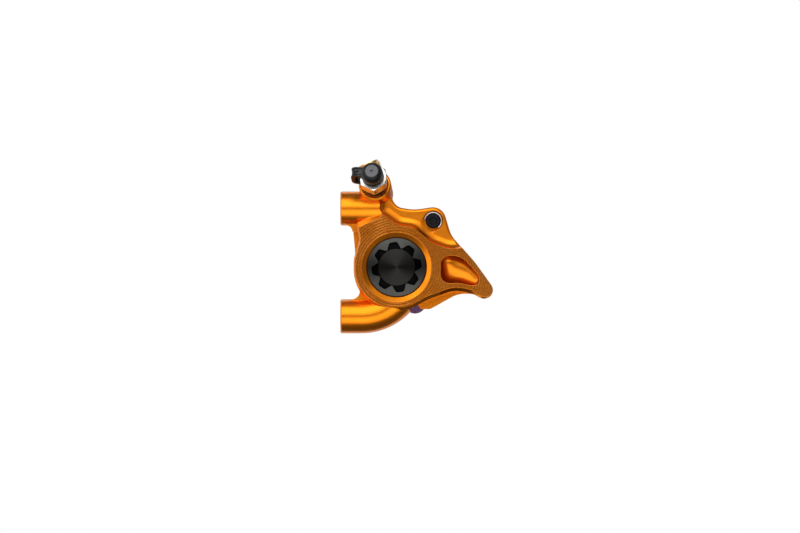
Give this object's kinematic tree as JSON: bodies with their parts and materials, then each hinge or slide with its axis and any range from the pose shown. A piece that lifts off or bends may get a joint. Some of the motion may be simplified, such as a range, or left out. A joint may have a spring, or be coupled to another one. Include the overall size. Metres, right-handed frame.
{
  "type": "bicycle disc brake caliper",
  "caption": "Flat-mount hydraulic disc brake caliper: one-piece orange body with threaded posts, screw-in bore cap, sliding pistons and pads, pad pin and capped bleed nipple.",
  "frame": {"origin": "midway between the two threaded posts' centres, in the plane of the post ends that meets the frame", "axes": "+X away from the frame's mounting face towards the beak, +Y from the outer face with the bore cap through the rotor's plane to the inner half, +Z from the lower post to the upper post and the bleed nipple"},
  "size_m": [0.048, 0.0459, 0.0551],
  "materials": {
    "body": "orange anodised, machined, satin gloss",
    "cap": "black anodised, turned",
    "piston": "black phenolic, ground and polished",
    "insulator": "brown heat-proof fibre board",
    "seal": "soft black rubber",
    "backplate": "purple coated steel",
    "lining": "sintered friction material with metal flecks",
    "spring": "bright spring steel",
    "pin": "black oxide steel",
    "clip": "bright spring steel",
    "nipple": "bright stainless steel",
    "dust_cap": "black rubber with a greyed top",
    "connector": "brass with a coppery tint on its crests",
    "washer": "soft bright aluminium"
  },
  "bodies": {
    "caliper": {"caliper_body": "body", "bore_cap": "cap", "bore_cap_oring": "seal", "outer_piston_seal": "seal", "inner_piston_seal": "seal", "pad_spring": "spring", "pad_pin": "pin", "pad_pin_clip": "clip", "nipple_dust_cap": "dust_cap", "hose_connector": "connector", "hose_crush_washer": "washer", "drilling_plug": "pin"},
    "outer_piston_group": {"outer_piston": "piston", "outer_piston_insulator": "insulator"},
    "inner_piston_group": {"inner_piston": "piston", "inner_piston_insulator": "insulator"},
    "outer_pad": {"outer_pad_backplate": "backplate", "outer_pad_lining": "lining"},
    "inner_pad": {"inner_pad_backplate": "backplate", "inner_pad_lining": "lining"},
    "nipple": {"bleed_nipple": "nipple"}
  },
  "joints": [
    {"name": "outer_piston_slide", "type": "slide", "parent": "caliper", "child": "outer_piston_group", "axis": [0, 1, 0], "range_m": [0, 0.0013]},
    {"name": "inner_piston_slide", "type": "slide", "parent": "caliper", "child": "inner_piston_group", "axis": [0, -1, 0], "range_m": [0, 0.0013]},
    {"name": "outer_pad_slide", "type": "slide", "parent": "caliper", "child": "outer_pad", "axis": [0, 1, 0], "range_m": [0, 0.0013], "deforming": ["pad_spring"]},
    {"name": "inner_pad_slide", "type": "slide", "parent": "caliper", "child": "inner_pad", "axis": [0, -1, 0], "range_m": [0, 0.0013], "deforming": ["pad_spring"]},
    {"name": "bleed_nipple_turn", "type": "hinge", "parent": "caliper", "child": "nipple", "pos_m": [0.01085, -0.0056, 0.0244], "axis": [-0.07, -0.9485, 0.309], "range_deg": [0, 180]}
  ],
  "couplings": [
    {"joint": "inner_piston_slide", "follows": "outer_piston_slide", "ratio": 1},
    {"joint": "outer_pad_slide", "follows": "outer_piston_slide", "ratio": 1},
    {"joint": "inner_pad_slide", "follows": "outer_piston_slide", "ratio": 1}
  ]
}
